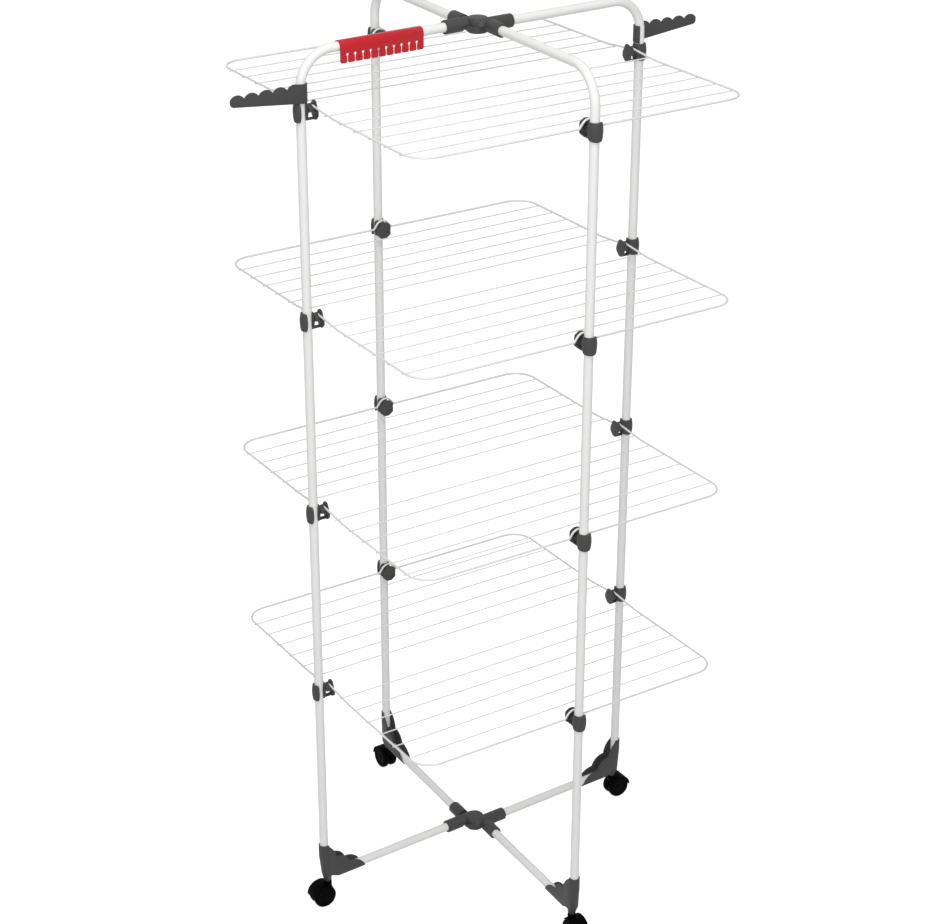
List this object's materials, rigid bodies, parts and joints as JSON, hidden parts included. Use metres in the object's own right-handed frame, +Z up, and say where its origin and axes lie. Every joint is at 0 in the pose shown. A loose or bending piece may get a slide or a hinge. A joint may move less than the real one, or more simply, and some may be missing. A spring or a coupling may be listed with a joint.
{
  "type": "tower clothes airer",
  "caption": "Upright folding clothes airer on casters: two crossed tube hoops carry levels of hinged wire wings, with hanger arms and a hook rail at the top.",
  "frame": {"origin": "centre of the base on the floor, on the fold axis", "axes": "+Z up; +X along the first hoop, towards the right back post; +Y along the second hoop, towards the left back post"},
  "size_m": [1.035, 0.8122, 1.835],
  "materials": {
    "white_tube_coating": "satin white powder coat on thin steel tube",
    "white_wire_coating": "satin white plastic dip on steel wire",
    "dark_grey_moulding": "fine-grained dark grey moulding",
    "black_caster_moulding": "smooth black moulding",
    "axle_steel": "plain drawn steel pin",
    "red_rail_moulding": "glossy red moulding"
  },
  "bodies": {
    "hoop_one": {"post_left_front": "white_tube_coating", "base_bar_left_front": "white_tube_coating", "foot_left_front": "dark_grey_moulding", "clip_left_front_1": "dark_grey_moulding", "clip_left_front_2": "dark_grey_moulding", "clip_left_front_3": "dark_grey_moulding", "clip_left_front_4": "dark_grey_moulding", "post_right_back": "white_tube_coating", "base_bar_right_back": "white_tube_coating", "foot_right_back": "dark_grey_moulding", "clip_right_back_1": "dark_grey_moulding", "clip_right_back_2": "dark_grey_moulding", "clip_right_back_3": "dark_grey_moulding", "clip_right_back_4": "dark_grey_moulding", "top_hub_upper": "dark_grey_moulding", "base_hub_upper": "dark_grey_moulding"},
    "hoop_two": {"post_left_back": "white_tube_coating", "base_bar_left_back": "white_tube_coating", "foot_left_back": "dark_grey_moulding", "clip_left_back_1": "dark_grey_moulding", "clip_left_back_2": "dark_grey_moulding", "clip_left_back_3": "dark_grey_moulding", "clip_left_back_4": "dark_grey_moulding", "post_right_front": "white_tube_coating", "base_bar_right_front": "white_tube_coating", "foot_right_front": "dark_grey_moulding", "clip_right_front_1": "dark_grey_moulding", "clip_right_front_2": "dark_grey_moulding", "clip_right_front_3": "dark_grey_moulding", "clip_right_front_4": "dark_grey_moulding", "top_hub_lower": "dark_grey_moulding", "base_hub_lower": "dark_grey_moulding"},
    "wing_front_1": {"wing_front_1": "white_wire_coating"},
    "wing_back_1": {"wing_back_1": "white_wire_coating"},
    "wing_front_2": {"wing_front_2": "white_wire_coating"},
    "wing_back_2": {"wing_back_2": "white_wire_coating"},
    "wing_front_3": {"wing_front_3": "white_wire_coating"},
    "wing_back_3": {"wing_back_3": "white_wire_coating"},
    "wing_front_4": {"wing_front_4": "white_wire_coating"},
    "wing_back_4": {"wing_back_4": "white_wire_coating"},
    "caster_right_back": {"caster_hood_right_back": "black_caster_moulding", "caster_axle_right_back": "axle_steel"},
    "wheel_right_back_a": {"caster_wheel_right_back_a": "black_caster_moulding"},
    "wheel_right_back_b": {"caster_wheel_right_back_b": "black_caster_moulding"},
    "caster_left_back": {"caster_hood_left_back": "black_caster_moulding", "caster_axle_left_back": "axle_steel"},
    "wheel_left_back_a": {"caster_wheel_left_back_a": "black_caster_moulding"},
    "wheel_left_back_b": {"caster_wheel_left_back_b": "black_caster_moulding"},
    "caster_left_front": {"caster_hood_left_front": "black_caster_moulding", "caster_axle_left_front": "axle_steel"},
    "wheel_left_front_a": {"caster_wheel_left_front_a": "black_caster_moulding"},
    "wheel_left_front_b": {"caster_wheel_left_front_b": "black_caster_moulding"},
    "caster_right_front": {"caster_hood_right_front": "black_caster_moulding", "caster_axle_right_front": "axle_steel"},
    "wheel_right_front_a": {"caster_wheel_right_front_a": "black_caster_moulding"},
    "wheel_right_front_b": {"caster_wheel_right_front_b": "black_caster_moulding"},
    "arm_left_front": {"hanger_arm_left_front": "dark_grey_moulding"},
    "arm_right_back": {"hanger_arm_right_back": "dark_grey_moulding"},
    "rail": {"hook_rail": "red_rail_moulding"}
  },
  "joints": [
    {"name": "fold", "type": "hinge", "parent": "hoop_one", "child": "hoop_two", "pos_m": [0, 0, 1], "axis": [0, 0, -1], "range_deg": [0, 75]},
    {"name": "wing_front_1_hinge", "type": "hinge", "parent": "hoop_one", "child": "wing_front_1", "pos_m": [0, 0, 1.7165], "axis": [1, 0, 0], "range_deg": [0, 79]},
    {"name": "wing_back_1_hinge", "type": "hinge", "parent": "hoop_one", "child": "wing_back_1", "pos_m": [0, 0, 1.7165], "axis": [-1, 0, 0], "range_deg": [0, 79]},
    {"name": "wing_front_2_hinge", "type": "hinge", "parent": "hoop_one", "child": "wing_front_2", "pos_m": [0, 0, 1.3175], "axis": [1, 0, 0], "range_deg": [0, 79]},
    {"name": "wing_back_2_hinge", "type": "hinge", "parent": "hoop_one", "child": "wing_back_2", "pos_m": [0, 0, 1.3175], "axis": [-1, 0, 0], "range_deg": [0, 79]},
    {"name": "wing_front_3_hinge", "type": "hinge", "parent": "hoop_one", "child": "wing_front_3", "pos_m": [0, 0, 0.9185], "axis": [1, 0, 0], "range_deg": [0, 79]},
    {"name": "wing_back_3_hinge", "type": "hinge", "parent": "hoop_one", "child": "wing_back_3", "pos_m": [0, 0, 0.9185], "axis": [-1, 0, 0], "range_deg": [0, 79]},
    {"name": "wing_front_4_hinge", "type": "hinge", "parent": "hoop_one", "child": "wing_front_4", "pos_m": [0, 0, 0.5195], "axis": [1, 0, 0], "range_deg": [0, 79]},
    {"name": "wing_back_4_hinge", "type": "hinge", "parent": "hoop_one", "child": "wing_back_4", "pos_m": [0, 0, 0.5195], "axis": [-1, 0, 0], "range_deg": [0, 79]},
    {"name": "swivel_right_back", "type": "hinge", "parent": "hoop_one", "child": "caster_right_back", "pos_m": [0.366, -0.00023, 0.06], "axis": [0, 0, 1], "continuous": true},
    {"name": "roll_right_back_a", "type": "hinge", "parent": "caster_right_back", "child": "wheel_right_back_a", "pos_m": [0.379, 0.00987, 0.0245], "axis": [0, 1, 0], "continuous": true},
    {"name": "roll_right_back_b", "type": "hinge", "parent": "caster_right_back", "child": "wheel_right_back_b", "pos_m": [0.379, -0.01034, 0.0245], "axis": [0, 1, 0], "continuous": true},
    {"name": "swivel_left_back", "type": "hinge", "parent": "hoop_two", "child": "caster_left_back", "pos_m": [-0.00023, 0.366, 0.06], "axis": [0, 0, 1], "continuous": true},
    {"name": "roll_left_back_a", "type": "hinge", "parent": "caster_left_back", "child": "wheel_left_back_a", "pos_m": [-0.01034, 0.379, 0.0245], "axis": [-1, 0, 0], "continuous": true},
    {"name": "roll_left_back_b", "type": "hinge", "parent": "caster_left_back", "child": "wheel_left_back_b", "pos_m": [0.00987, 0.379, 0.0245], "axis": [-1, 0, 0], "continuous": true},
    {"name": "swivel_left_front", "type": "hinge", "parent": "hoop_one", "child": "caster_left_front", "pos_m": [-0.366, 0.00023, 0.06], "axis": [0, 0, 1], "continuous": true},
    {"name": "roll_left_front_a", "type": "hinge", "parent": "caster_left_front", "child": "wheel_left_front_a", "pos_m": [-0.379, -0.00987, 0.0245], "axis": [0, -1, 0], "continuous": true},
    {"name": "roll_left_front_b", "type": "hinge", "parent": "caster_left_front", "child": "wheel_left_front_b", "pos_m": [-0.379, 0.01034, 0.0245], "axis": [0, -1, 0], "continuous": true},
    {"name": "swivel_right_front", "type": "hinge", "parent": "hoop_two", "child": "caster_right_front", "pos_m": [0.00023, -0.366, 0.06], "axis": [0, 0, 1], "continuous": true},
    {"name": "roll_right_front_a", "type": "hinge", "parent": "caster_right_front", "child": "wheel_right_front_a", "pos_m": [0.01034, -0.379, 0.0245], "axis": [1, 0, 0], "continuous": true},
    {"name": "roll_right_front_b", "type": "hinge", "parent": "caster_right_front", "child": "wheel_right_front_b", "pos_m": [-0.00987, -0.379, 0.0245], "axis": [1, 0, 0], "continuous": true},
    {"name": "arm_left_front_turn", "type": "hinge", "parent": "hoop_one", "child": "arm_left_front", "pos_m": [-0.3725, 0, 1.75], "axis": [0, 0, 1], "range_deg": [-90, 0]},
    {"name": "arm_right_back_turn", "type": "hinge", "parent": "hoop_one", "child": "arm_right_back", "pos_m": [0.3725, 0, 1.75], "axis": [0, 0, 1], "range_deg": [-90, 0]},
    {"name": "rail_slide", "type": "slide", "parent": "hoop_one", "child": "rail", "axis": [0.9993, 0.0362, 0], "range_m": [0, 0.04]}
  ],
  "couplings": [
    {"joint": "wing_front_1_hinge", "follows": "fold", "ratio": 1.04},
    {"joint": "wing_back_1_hinge", "follows": "fold", "ratio": 1.04},
    {"joint": "wing_front_2_hinge", "follows": "fold", "ratio": 1.04},
    {"joint": "wing_back_2_hinge", "follows": "fold", "ratio": 1.04},
    {"joint": "wing_front_3_hinge", "follows": "fold", "ratio": 1.04},
    {"joint": "wing_back_3_hinge", "follows": "fold", "ratio": 1.04},
    {"joint": "wing_front_4_hinge", "follows": "fold", "ratio": 1.04},
    {"joint": "wing_back_4_hinge", "follows": "fold", "ratio": 1.04}
  ]
}
